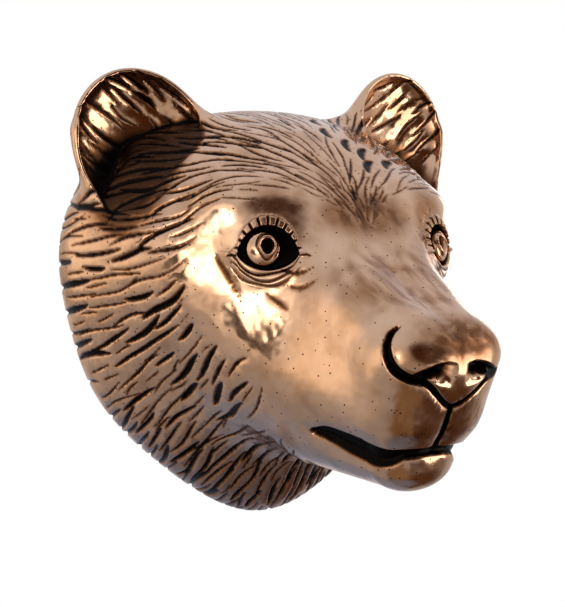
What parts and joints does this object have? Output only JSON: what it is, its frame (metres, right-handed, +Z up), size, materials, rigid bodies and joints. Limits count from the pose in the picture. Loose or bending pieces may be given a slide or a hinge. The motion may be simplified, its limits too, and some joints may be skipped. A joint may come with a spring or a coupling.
{
  "type": "bear head wall sculpture",
  "caption": "Polished cast bronze bear head with a flat back, to hang on a wall, with carved fur, cupped ears, lidded eyes and a closed mouth.",
  "frame": {"origin": "on the flat back, in the middle of the head's width, a little below half of its height", "axes": "+Y out of the flat back into the wall, so the bear looks along -Y; +Z up; +X to the bear's left"},
  "size_m": [0.2114, 0.1599, 0.2196],
  "materials": {
    "bronze": "polished cast bronze, dark patina left in the carved lines, fine casting pits"
  },
  "bodies": {
    "root": {"bear_head": "bronze"}
  },
  "joints": []
}
